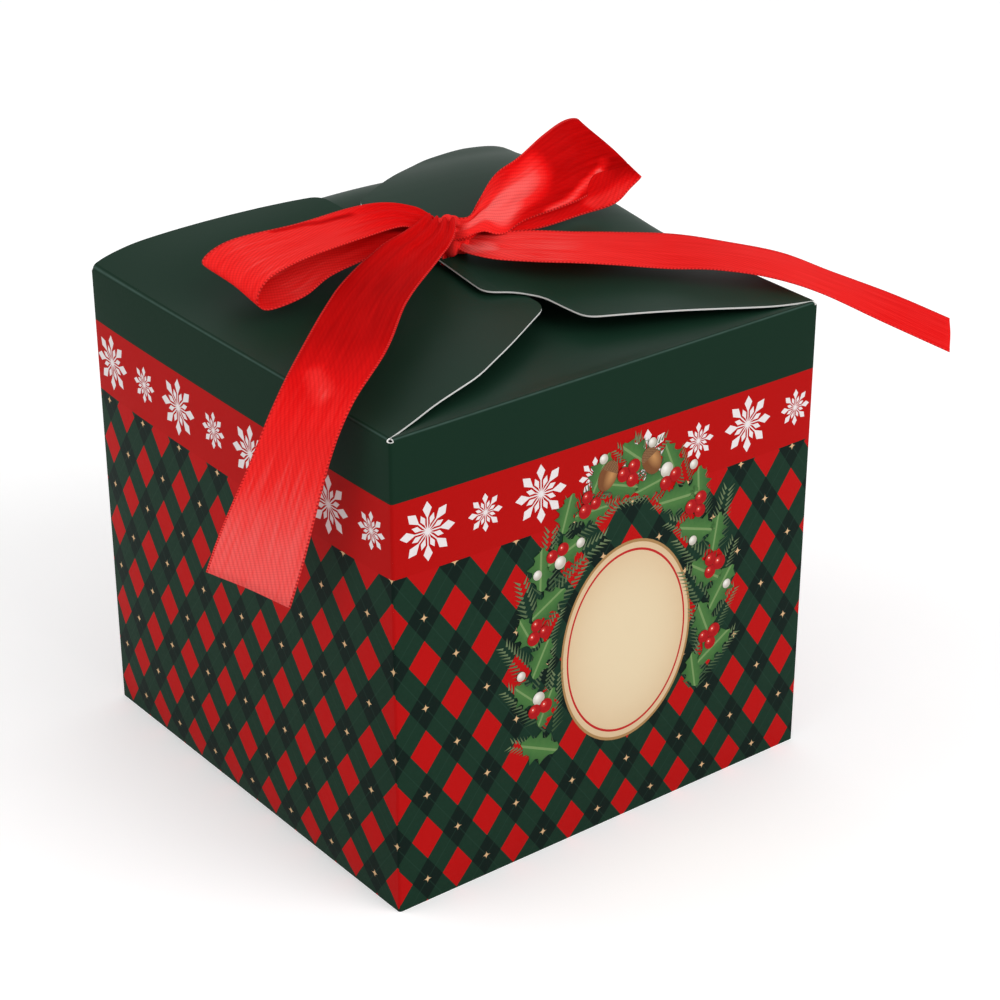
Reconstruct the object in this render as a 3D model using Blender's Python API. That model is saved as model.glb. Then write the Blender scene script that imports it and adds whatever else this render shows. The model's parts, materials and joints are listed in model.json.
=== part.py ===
"""A cardboard gift box with a petal top, tied shut with a satin ribbon bow.

Lengths are in metres. The origin is the centre of the base and +Z is up. The
wall with the picture faces -Y. Four curved petals fold over one another to
close the top, and the bow's ribbon goes down and up through two slots in them.
"""

import math

import bmesh
import bpy
import numpy as np
from mathutils import Vector

MM = 0.001

# Driving sizes of the folded carton
SIDE = 150 * MM
WALL_HEIGHT = 146 * MM
CARD = 0.5 * MM
CLEARANCE = 0.3 * MM
CREASE_GAP = 0.4 * MM
GLUE_TAB_WIDTH = 15 * MM
GLUE_TAB_SETBACK = 5 * MM

# Slots in the two upper petals, and the ribbon that goes through them
SLOT_LENGTH = 6 * MM
SLOT_WIDTH = 2 * MM
SLOT_FROM_CENTRE = 5 * MM
STRAP_THICKNESS = 1.2 * MM

# Ribbon and knot
RIBBON_WIDTH = 25 * MM
RIBBON_THICKNESS = 0.35 * MM
KNOT_LENGTH = 13 * MM
KNOT_DEPTH = 13 * MM
KNOT_HEIGHT = 9 * MM
KNOT_ROUNDING = 2.6 * MM
KNOT_OFFSET = 4 * MM
KNOT_FORWARD = 1.5 * MM
ROUND_PROFILE = 0.5

# The front petal lies lowest: it steps down behind its crease, then slopes on down
UNDER_STEP = CARD + CREASE_GAP
UNDER_STEP_REACH = 2.2 * MM
UNDER_SLOPE_SHARE = 0.05

# A petal's edge as (depth behind the crease, way along the crease from its left
# end seen from outside, how far the corner is rounded), in shares of the side
PETAL_CORNER_SHARES = (
    (0, 0.017, 0),
    (0.085, 0.030, 0.02),
    (0.430, 0.167, 0.025),
    (0.448, 0.276, 0.02),
    (0.480, 0.315, 0.02),
    (0.534, 0.345, 0.02),
    (0.534, 0.755, 0.033),
    (0.378, 0.849, 0.05),
    (0.260, 0.909, 0.03),
    (0.140, 0.940, 0.03),
    (0, 0.983, 0),
)
CURVE_STEPS = 4

# Depths and widths at which a petal's mesh is divided so that it can curve
DEPTH_CUT_SHARES = (0.012, 0.03, 0.055, 0.085, 0.12, 0.16, 0.21, 0.27, 0.34, 0.4, 0.46)
WIDTH_CUTS = 12

# How high the arched petals stand, as (way along the crease, height), how quickly
# they get there behind the crease, and how gently the arch starts
PEAK_SHARES = {
    "left": (
        (0, 0.147),
        (0.165, 0.130),
        (0.36, 0.067),
        (0.534, 0.047),
        (0.63, 0.034),
        (0.755, 0.029),
        (1, 0.027),
    ),
    "right": (
        (0, 0.022),
        (0.17, 0.025),
        (0.27, 0.034),
        (0.37, 0.046),
        (0.755, 0.098),
        (0.9, 0.092),
        (1, 0.087),
    ),
    "back": (
        (0, 0.012),
        (0.08, 0.033),
        (0.2, 0.070),
        (0.35, 0.092),
        (0.5, 0.096),
        (0.65, 0.084),
        (0.78, 0.064),
        (0.9, 0.029),
        (1, 0.012),
    ),
}
REACH_SHARES = {
    "left": ((0, 0.4), (0.3, 0.25), (0.5, 0.19), (1, 0.28)),
    "right": ((0, 0.25), (0.3, 0.19), (0.5, 0.06), (1, 0.045)),
    "back": ((0, 0.1), (1, 0.1)),
}
START_POWERS = {
    "left": ((0, 0.75), (0.5, 1.4), (1, 2)),
    "right": ((0, 2), (0.3, 1.5), (0.5, 0.8), (1, 0.3)),
    "back": ((0, 1.2), (1, 1.2)),
}
# The back petal's arch dies away again towards its tip, as (depth, what is left of it)
BACK_TIP_SHARES = ((0, 1), (0.12, 1), (0.21, 0.84), (0.3, 0.63), (0.38, 0.44), (0.47, 0.22), (0.54, 0.1))

# Quarter turns from the left petal, and the petals that carry the slots
PETAL_TURNS = {"left": 0, "front": 1, "right": 2, "back": 3}
SLOTTED_PETALS = ("left", "right")

# Bottom flaps as (way along the wall from its middle, reach across the base)
OUTER_FLAP_SHARES = (
    (-0.49, 0),
    (0.49, 0),
    (0.46, 0.3),
    (0.27, 0.5),
    (0.25, 0.62),
    (-0.25, 0.62),
    (-0.27, 0.5),
    (-0.46, 0.3),
)
SIDE_FLAP_SHARES = ((-0.48, 0), (0.48, 0), (0.4, 0.2), (0.22, 0.44), (-0.35, 0.44), (-0.46, 0.2))
INNER_FLAP_SHARES = (
    (-0.48, 0),
    (0.48, 0),
    (0.45, 0.4),
    (0.33, 0.56),
    (0.26, 0.44),
    (-0.26, 0.44),
    (-0.33, 0.56),
    (-0.45, 0.4),
)

# Places along each ribbon end: the middle of the ribbon as x from the knot's face,
# y and height over the walls, then the direction from its front edge to its back
# edge, then its width. Places are shares of the side, widths of the ribbon's width.
LEFT_TAIL_SHARES = (
    (0, -0.010, 0.110, 0, 0.93, 0.38, 0.46),
    (-0.052, -0.030, 0.121, -0.15, 0.98, 0.10, 0.80),
    (-0.106, -0.044, 0.105, -0.27, 0.96, -0.02, 0.91),
    (-0.259, -0.141, 0.092, -0.33, 0.93, -0.14, 1),
    (-0.408, -0.263, 0.065, -0.52, 0.84, -0.14, 1),
    (-0.532, -0.342, 0.018, -0.36, 0.91, -0.21, 1),
    (-0.581, -0.318, -0.117, -0.48, 0.85, -0.20, 1),
    (-0.617, -0.244, -0.352, -0.57, 0.77, 0.31, 1),
)
RIGHT_TAIL_SHARES = (
    (0, -0.030, 0.077, 0, 0.97, 0.25, 0.37),
    (0.032, -0.088, 0.087, 0.40, 0.91, 0.13, 0.59),
    (0.091, -0.140, 0.081, 0.67, 0.74, -0.01, 1),
    (0.188, -0.177, 0.066, 0.64, 0.77, 0.01, 1),
    (0.293, -0.226, 0.050, 0.71, 0.70, 0.04, 1),
    (0.368, -0.292, 0.043, 0.76, 0.65, -0.04, 1),
    (0.447, -0.360, 0.026, 0.78, 0.62, -0.08, 1),
    (0.514, -0.431, -0.003, 0.77, 0.62, -0.12, 1),
    (0.598, -0.520, -0.049, 0.79, 0.61, -0.06, 1),
    (0.685, -0.606, -0.100, 0.72, 0.69, 0, 1),
)
LEFT_LOOP_SHARES = (
    (0, 0.035, 0.110, 0, 0.94, 0.34, 0.30),
    (-0.064, 0.100, 0.121, 0.15, 0.99, 0.03, 0.70),
    (-0.233, 0.077, 0.132, 0.30, 0.95, -0.03, 1),
    (-0.367, 0.087, 0.119, 0.07, 0.99, 0.08, 1),
    (-0.410, 0.099, 0.083, -0.09, 0.98, 0.16, 1),
    (-0.388, 0.090, 0.062, 0, 0.99, 0.17, 1),
    (-0.318, 0.080, 0.073, -0.04, 0.99, 0.16, 1),
    (-0.234, 0.102, 0.088, 0, 0.99, 0.14, 1),
    (-0.121, 0.095, 0.093, 0.10, 0.99, 0.10, 0.80),
    (0, 0.017, 0.085, 0, 0.98, 0.19, 0.37),
)
RIGHT_LOOP_SHARES = (
    (0, 0.015, 0.117, 0, 0.81, 0.59, 0.37),
    (0.088, -0.004, 0.148, -0.11, -0.01, 0.99, 0.70),
    (0.217, 0.024, 0.161, -0.21, 0.40, 0.89, 0.88),
    (0.305, 0.058, 0.160, -0.30, 0.44, 0.85, 0.95),
    (0.360, 0.045, 0.167, -0.40, 0.69, 0.60, 1),
    (0.348, 0.050, 0.142, -0.23, 0.82, 0.53, 1),
    (0.300, 0.040, 0.121, -0.23, 0.82, 0.52, 0.97),
    (0.229, 0.042, 0.110, -0.30, 0.73, 0.62, 0.84),
    (0.095, 0.030, 0.107, -0.14, 0.78, 0.61, 0.56),
    (0, 0.020, 0.106, 0, 0.85, 0.52, 0.35),
)
RIBBON_STEPS = 3
RIBBON_STRIPS = 3

# Surface colours, in linear light
PRINT_GREEN = (0.013, 0.042, 0.026)
PRINT_RED = (0.48, 0.010, 0.010)
BOARD_WHITE = (0.80, 0.79, 0.76)
SATIN_RED = (0.70, 0.010, 0.014)


def clear_scene():
    for obj in list(bpy.data.objects):
        bpy.data.objects.remove(obj, do_unlink=True)


def surface(name, colour, roughness):
    """A plain material for one kind of surface."""
    material = bpy.data.materials.new(name)
    material.use_nodes = True
    shader = material.node_tree.nodes["Principled BSDF"]
    shader.inputs["Base Color"].default_value = (*colour, 1)
    shader.inputs["Roughness"].default_value = roughness
    return material


def add_object(name, form, material, place=(0, 0, 0), turn=0, parent=None):
    """Makes a named object of the bmesh, turned about Z and put in its place."""
    mesh = bpy.data.meshes.new(name)
    form.to_mesh(mesh)
    form.free()
    mesh.materials.append(material)
    obj = bpy.data.objects.new(name, mesh)
    bpy.context.scene.collection.objects.link(obj)
    obj.location = place
    obj.rotation_euler.z = turn
    obj.parent = parent
    return obj


def block(low, high):
    """A box between two corners."""
    form = bmesh.new()
    bmesh.ops.create_cube(form, size=1)
    size = Vector(high) - Vector(low)
    bmesh.ops.scale(form, vec=size, verts=form.verts)
    bmesh.ops.translate(form, vec=(Vector(high) + Vector(low)) / 2, verts=form.verts)
    return form


def smooth_through(rows, steps):
    """Points of a smooth curve through the rows, with so many steps between two rows."""
    rows = np.array(rows, float)
    first = 2 * rows[0] - rows[1]
    last = 2 * rows[-1] - rows[-2]
    guide = np.vstack([first, rows, last])
    points = []
    for index in range(len(rows) - 1):
        a, b, c, d = guide[index : index + 4]
        for step in range(steps):
            u = step / steps
            square = (2 * a - 5 * b + 4 * c - d) * u**2
            cube = (3 * b - a - 3 * c + d) * u**3
            points.append((2 * b + (c - a) * u + square + cube) / 2)
    points.append(rows[-1])
    return np.array(points)


def read_curve(rows, place):
    """The height of the smooth curve through (place, height) rows at this place."""
    curve = smooth_through(rows, CURVE_STEPS * 2)
    return float(np.interp(place, curve[:, 0], curve[:, 1]))


def rise_share(petal, depth, along):
    """How far an arched petal stands above its crease, all in shares of the side."""
    reach = read_curve(REACH_SHARES[petal], along)
    power = read_curve(START_POWERS[petal], along)
    rise = read_curve(PEAK_SHARES[petal], along)
    rise *= 1 - math.exp(-((max(depth, 0) / reach) ** power))
    if petal == "back":
        rise *= read_curve(BACK_TIP_SHARES, depth)
    return rise


def petal_rise(petal, depth, along):
    """The height of a petal's upper face over its crease, from lengths on the flat petal."""
    if petal == "front":
        step = UNDER_STEP * (1 - math.exp(-((depth / UNDER_STEP_REACH) ** 2)))
        return -step - UNDER_SLOPE_SHARE * depth
    return SIDE * rise_share(petal, depth / SIDE, along / SIDE)


def rounded_outline(corners):
    """The outline's points, with each corner drawn as a curve from one side to the next."""
    points = []
    for index, (depth, along, cut) in enumerate(corners):
        corner = Vector((depth, along))
        if not cut:
            points.append(corner)
            continue
        before = Vector(corners[index - 1][:2]) - corner
        after = Vector(corners[index + 1][:2]) - corner
        start = corner + before.normalized() * cut
        end = corner + after.normalized() * cut
        for step in range(CURVE_STEPS + 1):
            u = step / CURVE_STEPS
            points.append(start * (1 - u) ** 2 + corner * 2 * u * (1 - u) + end * u**2)
    return points


def slot_borders():
    """The two slots as (low, high) corners in a petal's own flat frame."""
    half = Vector((SLOT_LENGTH / 2, SLOT_WIDTH / 2))
    for side in (-1, 1):
        centre = Vector((SIDE / 2, side * SLOT_FROM_CENTRE))
        yield centre - half, centre + half


def cut_across(form, place, axis):
    """Divides the flat sheet along a line square to X (axis 0) or Y (axis 1)."""
    point = Vector((0, 0, 0))
    normal = Vector((0, 0, 0))
    point[axis] = place
    normal[axis] = 1
    everything = form.verts[:] + form.edges[:] + form.faces[:]
    bmesh.ops.bisect_plane(form, geom=everything, plane_co=point, plane_no=normal)


def punch_slots(form):
    """Cuts both slots out of the flat sheet."""
    for low, high in slot_borders():
        for axis in (0, 1):
            cut_across(form, low[axis], axis)
            cut_across(form, high[axis], axis)
    inside = []
    for face in form.faces:
        middle = face.calc_center_median().to_2d()
        for low, high in slot_borders():
            if low.x < middle.x < high.x and low.y < middle.y < high.y:
                inside.append(face)
    bmesh.ops.delete(form, geom=inside, context="FACES")


def petal_sheet(petal):
    """The petal's upper face: X runs inwards from the crease, Y along it."""
    form = bmesh.new()
    verts = []
    for depth, along in rounded_outline(PETAL_CORNER_SHARES):
        verts.append(form.verts.new((SIDE * depth, SIDE / 2 - SIDE * along, 0)))
    form.faces.new(verts)
    for share in DEPTH_CUT_SHARES:
        cut_across(form, SIDE * share, 0)
    for index in range(1, WIDTH_CUTS):
        cut_across(form, SIDE / 2 - SIDE * index / WIDTH_CUTS, 1)
    if petal in SLOTTED_PETALS:
        punch_slots(form)
    bmesh.ops.triangulate(form, faces=form.faces)
    for vert in form.verts:
        vert.co.z = petal_rise(petal, vert.co.x, SIDE / 2 - vert.co.y)
    bmesh.ops.recalc_face_normals(form, faces=form.faces)
    if sum(face.normal.z for face in form.faces) < 0:
        bmesh.ops.reverse_faces(form, faces=form.faces)
    return form


def thicken(obj, thickness, offset):
    """Gives a sheet its thickness: offset -1 is all below its upper face."""
    modifier = obj.modifiers.new("Thickness", "SOLIDIFY")
    modifier.thickness = thickness
    modifier.offset = offset


def make_petal(petal, material):
    turn = PETAL_TURNS[petal] * math.pi / 2
    place = Vector((-SIDE / 2 * math.cos(turn), -SIDE / 2 * math.sin(turn), WALL_HEIGHT))
    obj = add_object(f"petal_{petal}", petal_sheet(petal), material, place, turn)
    obj.data.shade_smooth()
    thicken(obj, CARD, -1)


def make_walls(material):
    """Front and back run the full width, and left and right stand between them."""
    outer = SIDE / 2
    inner = outer - CARD
    top = WALL_HEIGHT - CARD - CREASE_GAP
    side_end = inner - CLEARANCE
    add_object("wall_front", block((-outer, -outer, 0), (outer, -inner, top)), material)
    add_object("wall_back", block((-outer, inner, 0), (outer, outer, top)), material)
    add_object("wall_left", block((-outer, -side_end, 0), (-inner, side_end, top)), material)
    add_object("wall_right", block((inner, -side_end, 0), (outer, side_end, top)), material)


def make_glue_tab(material):
    """The strip inside the back right corner that closes the sleeve of walls."""
    outside = SIDE / 2 - CARD - CLEARANCE
    low = (outside - CARD, outside - GLUE_TAB_WIDTH, GLUE_TAB_SETBACK)
    high = (outside, outside, WALL_HEIGHT - GLUE_TAB_SETBACK)
    add_object("glue_tab", block(low, high), material)


def flap_plate(shares, layer):
    """A flat bottom flap in its layer, reaching along +Y from its wall at -Y."""
    width = SIDE - 2 * (CARD + CLEARANCE)
    start = -SIDE / 2 + CARD + CLEARANCE
    level = layer * (CARD + CLEARANCE)
    form = bmesh.new()
    verts = [form.verts.new((width * x, start + width * y, level)) for x, y in shares]
    face = form.faces.new(verts)
    raised = bmesh.ops.extrude_face_region(form, geom=[face])["geom"]
    moved = [item for item in raised if isinstance(item, bmesh.types.BMVert)]
    bmesh.ops.translate(form, vec=(0, 0, CARD), verts=moved)
    bmesh.ops.recalc_face_normals(form, faces=form.faces)
    return form


def make_bottom(material):
    """Four interleaved flaps: the outer one carries the rest, the inner one is on top."""
    quarter = math.pi / 2
    add_object("bottom_flap_outer", flap_plate(OUTER_FLAP_SHARES, 0), material)
    left = flap_plate(SIDE_FLAP_SHARES, 1)
    add_object("bottom_flap_left", left, material, turn=-quarter)
    right = flap_plate(SIDE_FLAP_SHARES, 1)
    add_object("bottom_flap_right", right, material, turn=quarter)
    inner = flap_plate(INNER_FLAP_SHARES, 2)
    add_object("bottom_flap_inner", inner, material, turn=2 * quarter)


def ribbon_sheet(rows, side):
    """A strip through its stations, from the knot's left (-1) or right (1) face."""
    root = Vector((KNOT_OFFSET + side * (KNOT_LENGTH / 2 + CLEARANCE), 0, 0))
    form = bmesh.new()
    lines = []
    for station in smooth_through(rows, RIBBON_STEPS):
        middle = root + Vector(station[:3]) * SIDE
        across = Vector(station[3:6]).normalized() * RIBBON_WIDTH * station[6]
        line = []
        for index in range(RIBBON_STRIPS + 1):
            line.append(form.verts.new(middle + across * (index / RIBBON_STRIPS - 1 / 2)))
        lines.append(line)
    for here, there in zip(lines, lines[1:]):
        for index in range(RIBBON_STRIPS):
            corners = (here[index], here[index + 1], there[index + 1], there[index])
            form.faces.new(corners)
    bmesh.ops.triangulate(form, faces=form.faces)
    return form


def make_ribbon_end(name, rows, side, material, bow):
    obj = add_object(name, ribbon_sheet(rows, side), material, parent=bow)
    obj.data.shade_smooth()
    thicken(obj, RIBBON_THICKNESS, 0)


def knot_underside():
    """Just over the right petal where it is highest under the knot."""
    highest = 0
    for along in (-1, 0, 1):
        place = SIDE / 2 + along * KNOT_DEPTH / 2
        highest = max(highest, petal_rise("right", SIDE / 2, place))
    return highest + CLEARANCE


def make_knot(material, bow):
    half = Vector((KNOT_LENGTH, KNOT_DEPTH, 0)) / 2
    middle = Vector((KNOT_OFFSET, -KNOT_FORWARD, knot_underside()))
    high = middle + half + Vector((0, 0, KNOT_HEIGHT))
    form = block(middle - half, high)
    edges = form.edges[:]
    round_off = {"offset": KNOT_ROUNDING, "profile": ROUND_PROFILE, "segments": 2}
    bmesh.ops.bevel(form, geom=edges, affect="EDGES", **round_off)
    obj = add_object("ribbon_knot", form, material, parent=bow)
    obj.data.shade_smooth()


def make_underpass(material, bow):
    """The ribbon under the petals: down one slot, across and up the other one."""
    half = SLOT_LENGTH / 2 - CLEARANCE
    outside = SLOT_FROM_CENTRE + STRAP_THICKNESS / 2
    inside = outside - STRAP_THICKNESS
    lowest = min(petal_rise("left", SIDE / 2, SIDE / 2 + side * outside) for side in (-1, 1))
    ceiling = lowest - CARD - CLEARANCE
    floor = ceiling - STRAP_THICKNESS
    top = knot_underside() - CLEARANCE
    profile = (
        (-outside, top),
        (-outside, floor),
        (outside, floor),
        (outside, top),
        (inside, top),
        (inside, ceiling),
        (-inside, ceiling),
        (-inside, top),
    )
    form = bmesh.new()
    face = form.faces.new([form.verts.new((-half, y, z)) for y, z in profile])
    raised = bmesh.ops.extrude_face_region(form, geom=[face])["geom"]
    moved = [item for item in raised if isinstance(item, bmesh.types.BMVert)]
    bmesh.ops.translate(form, vec=(2 * half, 0, 0), verts=moved)
    bmesh.ops.recalc_face_normals(form, faces=form.faces)
    add_object("ribbon_underpass", form, material, parent=bow)


def make_bow(material):
    """All ribbon pieces hang on one empty over the slots, which lifts off upwards."""
    bow = bpy.data.objects.new("bow", None)
    bpy.context.scene.collection.objects.link(bow)
    bow.location.z = WALL_HEIGHT
    make_underpass(material, bow)
    make_knot(material, bow)
    make_ribbon_end("ribbon_loop_left", LEFT_LOOP_SHARES, -1, material, bow)
    make_ribbon_end("ribbon_loop_right", RIGHT_LOOP_SHARES, 1, material, bow)
    make_ribbon_end("ribbon_tail_left", LEFT_TAIL_SHARES, -1, material, bow)
    make_ribbon_end("ribbon_tail_right", RIGHT_TAIL_SHARES, 1, material, bow)


def main():
    clear_scene()
    printed = surface("printed_card", PRINT_RED, 0.45)
    plain = surface("green_card", PRINT_GREEN, 0.4)
    board = surface("white_board", BOARD_WHITE, 0.7)
    satin = surface("satin_ribbon", SATIN_RED, 0.35)
    make_walls(printed)
    make_glue_tab(board)
    make_bottom(board)
    for petal in PETAL_TURNS:
        make_petal(petal, plain)
    make_bow(satin)


main()
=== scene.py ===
# %% [markdown]
# A cardboard gift box, dressed for its portrait. The box is one printed sheet of
# card, folded into four walls and four petals, and a satin ribbon ties it shut.
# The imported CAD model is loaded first, as the frame that every piece is fitted to.

# %% Load the frame
import json
import math

import bmesh
import bpy
import numpy as np
from mathutils import Matrix, Vector

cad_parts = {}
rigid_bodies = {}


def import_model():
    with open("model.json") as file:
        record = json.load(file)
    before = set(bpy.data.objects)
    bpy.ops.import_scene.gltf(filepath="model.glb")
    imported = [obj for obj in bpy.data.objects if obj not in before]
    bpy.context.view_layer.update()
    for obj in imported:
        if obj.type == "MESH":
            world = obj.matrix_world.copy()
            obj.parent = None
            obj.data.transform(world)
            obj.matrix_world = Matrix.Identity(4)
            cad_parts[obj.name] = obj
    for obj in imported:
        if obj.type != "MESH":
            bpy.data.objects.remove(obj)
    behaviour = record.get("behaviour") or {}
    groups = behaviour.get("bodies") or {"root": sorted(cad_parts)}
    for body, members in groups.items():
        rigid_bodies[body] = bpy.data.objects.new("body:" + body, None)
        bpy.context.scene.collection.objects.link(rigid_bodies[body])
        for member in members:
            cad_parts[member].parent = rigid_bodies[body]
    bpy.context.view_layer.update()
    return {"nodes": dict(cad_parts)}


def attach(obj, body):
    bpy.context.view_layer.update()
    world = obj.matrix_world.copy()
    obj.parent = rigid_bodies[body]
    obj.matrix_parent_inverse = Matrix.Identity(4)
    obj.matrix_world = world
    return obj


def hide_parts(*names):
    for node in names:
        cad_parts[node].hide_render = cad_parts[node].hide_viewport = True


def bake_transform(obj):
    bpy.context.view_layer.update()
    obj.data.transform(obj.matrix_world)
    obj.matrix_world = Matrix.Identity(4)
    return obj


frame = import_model()
MM = 0.001

# %% [markdown]
# The camera stands a little under a metre away, off the front left corner and well
# above the box. A long lens keeps the upright edges almost parallel. The frame is
# shifted up a little, so that the box sits low in it without tilting the camera.

# %% Camera
CAMERA_PLACE = (-428.0, -575.5, 438.5)
CAMERA_HEADING = -37.817
CAMERA_DROP = 28.107
CAMERA_LENS = 96.12
FILM_WIDTH = 36
CAMERA_SHIFT = 0.06

lens = bpy.data.cameras.new("camera")
lens.lens = CAMERA_LENS
lens.sensor_width = FILM_WIDTH
lens.shift_y = CAMERA_SHIFT
camera = bpy.data.objects.new("camera", lens)
camera.location = Vector(CAMERA_PLACE) * MM
camera.rotation_euler = (math.radians(90 - CAMERA_DROP), 0, math.radians(CAMERA_HEADING))
bpy.context.scene.collection.objects.link(camera)
bpy.context.scene.camera = camera
bpy.context.scene.view_settings.view_transform = "Standard"
print("camera is", round(camera.location.length, 3), "m from the origin")

# %% [markdown]
# Shader arithmetic is written as plain sums. Shade wraps one socket of a shader, and
# every + or * on it adds a Math node. Finish holds a material with its main shader,
# and its add method makes any other node from a type, settings and socket values.

# %% Shader helpers


def feed(slot, value):
    """Links a Shade to the socket, or sets the socket to a number or a colour."""
    if isinstance(value, Shade):
        slot.id_data.links.new(value.socket, slot)
    else:
        slot.default_value = (*value, 1) if slot.type == "RGBA" else value


def operator(operation, swapped=False):
    """An operator of Shade that adds this Math node. Swapped, its own value comes last."""

    def apply(self, *others):
        return self.math(operation, *((*others, self) if swapped else (self, *others)))

    return apply


class Shade:
    """One number of a shader: arithmetic on it adds Math nodes."""

    def __init__(self, socket):
        self.socket = socket

    def math(self, operation, *values):
        node = self.socket.id_data.nodes.new("ShaderNodeMath")
        node.operation = operation
        for slot, value in zip(node.inputs, values):
            feed(slot, value)
        return Shade(node.outputs[0])

    __add__, __radd__ = operator("ADD"), operator("ADD", swapped=True)
    __sub__, __rsub__ = operator("SUBTRACT"), operator("SUBTRACT", swapped=True)
    __mul__, __rmul__ = operator("MULTIPLY"), operator("MULTIPLY", swapped=True)
    __truediv__, __pow__, __abs__ = operator("DIVIDE"), operator("POWER"), operator("ABSOLUTE")
    __lt__, __gt__ = operator("LESS_THAN"), operator("GREATER_THAN")
    lower_of, higher_of = operator("MINIMUM"), operator("MAXIMUM")

    def from_nearest(self, spacing):
        """The signed way to the nearest whole multiple of the spacing."""
        return self.math("WRAP", self, spacing / 2, -spacing / 2)


class Finish:
    """A material with its main shader, to which nodes are added."""

    def __init__(self, name, **constants):
        self.material = bpy.data.materials.new(name)
        self.material.use_nodes = True
        self.tree = self.material.node_tree
        self.skin = self.tree.nodes["Principled BSDF"]
        self.wear(**constants)

    def add(self, kind, settings=(), sockets=(), output=0):
        """Adds a node: its settings first, then the values or links of its sockets."""
        node = self.tree.nodes.new("ShaderNode" + kind)
        for name, value in dict(settings).items():
            if name == "stops":
                while len(node.color_ramp.elements) < len(value):
                    node.color_ramp.elements.new(1)
                for element, (place, colour) in zip(node.color_ramp.elements, value):
                    element.position = place
                    element.color = (*colour, 1)
            else:
                setattr(node, name, value)
        for name, value in dict(sockets).items():
            feed(node.inputs[name], value)
        return Shade(node.outputs[output])

    def wear(self, **sockets):
        """Links or sets the sockets of the main shader."""
        for socket, value in sockets.items():
            feed(self.skin.inputs[socket.replace("_", " ")], value)

    def place(self, uv=False):
        """The x, y and z of the point, or its spot in the UV map, in millimetres."""
        split = self.add("SeparateXYZ", sockets={0: self.add("TexCoord", output=2 if uv else 3)})
        return [Shade(socket) * (1 / MM) for socket in split.socket.node.outputs]

    def mix(self, amount, low, high):
        """One colour over another, by an amount from 0 to 1."""
        return self.add("Mix", {"data_type": "RGBA"}, {0: amount, 6: low, 7: high}, output=2)

    def noise(self, scale, detail=2, vector=None):
        """Soft cloudy variation from 0 to 1, with so many blobs in a metre."""
        vector = vector or self.add("TexCoord", output=3)
        return self.add("TexNoise", sockets={"Scale": scale, "Detail": detail, "Vector": vector})

    def bump(self, height, depth, strength=0.5):
        """A Bump of this depth in metres, from a pattern that runs from 0 to 1."""
        bump = self.add("Bump", sockets={"Height": height, "Distance": depth, "Strength": strength})
        self.wear(Normal=bump)

# %% [markdown]
# The box stands on a large white table in a white room, as in a catalogue picture.
# The room is an even white world. A large soft lamp stands in front on the right, and
# a weaker one behind on the left gives the ribbon and the lid a gentle shine.

# %% Floor, room and lamps
FLOOR_SIZE = 12
FLOOR_SINK = 0.2 * MM
FLOOR_LIFT = 0.24
FLOOR_WHITES = (0.93, 0.93, 0.93), (0.95, 0.95, 0.95)
ROOM_LIGHT = 0.60
LAMP_AIM = Vector((0, 0, 0.08))
LAMPS = {"front_lamp": ((0.55, -1.5, 1.05), 1.5, 19), "left_lamp": ((-1.3, 0.75, 0.85), 1.4, 9.5)}

bpy.ops.mesh.primitive_plane_add(size=FLOOR_SIZE, location=(0, 0, -FLOOR_SINK))
floor = bpy.context.object
floor.name = "floor"
paper = Finish("floor_white", Roughness=0.9, Emission_Strength=1)
paper.wear(Base_Color=paper.mix(paper.noise(40), *FLOOR_WHITES))
seen = paper.add("LightPath")
paper.wear(Emission_Color=paper.mix(seen, (0, 0, 0), (FLOOR_LIFT,) * 3))
floor.data.materials.append(paper.material)

room = bpy.data.worlds.new("room")
bpy.context.scene.world = room
room.use_nodes = True
sky = room.node_tree.nodes["Background"]
path = room.node_tree.nodes.new("ShaderNodeLightPath")
backdrop = Shade(path.outputs["Is Camera Ray"])
for kind in ("Is Glossy Ray", "Is Transmission Ray"):
    backdrop = backdrop.higher_of(Shade(path.outputs[kind]))
feed(sky.inputs["Strength"], backdrop * (1 - ROOM_LIGHT) + ROOM_LIGHT)
feed(sky.inputs["Color"], (1, 1, 1))

for name, (place, size, power) in LAMPS.items():
    lamp = bpy.data.lights.new(name, "AREA")
    lamp.shape = "SQUARE"
    lamp.size = size
    lamp.energy = power
    stand = bpy.data.objects.new(name, lamp)
    stand.location = place
    stand.rotation_euler = (LAMP_AIM - Vector(place)).to_track_quat("-Z", "Y").to_euler()
    bpy.context.scene.collection.objects.link(stand)
print("room light", ROOM_LIGHT, "and lamps:", ", ".join(LAMPS))

# %% [markdown]
# The printed sheet comes next. Its pattern is worked out in millimetres on the flat
# wall: a plain green strip at the top, a red band with snowflakes, and below it a
# lattice of red and dark green diamonds with a tiny gold star in every dark one.
# Drawing it with shader sums keeps every edge sharp at any distance.

# %% Colours and print sizes
GREEN = (0.0060, 0.0235, 0.0130)
DARK_GREEN = (0.0040, 0.0115, 0.0085)
MID_GREEN = (0.0090, 0.0320, 0.0185)
PALE_GREEN = (0.0170, 0.0480, 0.0310)
CARD_GREEN = (0.0090, 0.0310, 0.0185)
WEAR_AND_HIGHLIGHT_GREEN = (0.055, 0.100, 0.082)
BAND_RED = (0.400, 0.0030, 0.0025)
DIAMOND_RED = (0.425, 0.0040, 0.0040)
FLAKE_WHITE = (0.72, 0.67, 0.67)
STAR_GOLD = (0.62, 0.40, 0.21)
BOARD_GREY = (0.76, 0.75, 0.72)
BOARD_WHITE = (0.85, 0.84, 0.82)
PRINT_GLOSS = 0.04
PETAL_GLOSS = 0.065
CARD_TOOTH = 0.02 * MM

SIDE = 150 * MM
WALL_HEIGHT = 146 * MM
CARD = 0.5 * MM
CREASE_GAP = 0.4 * MM

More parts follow.
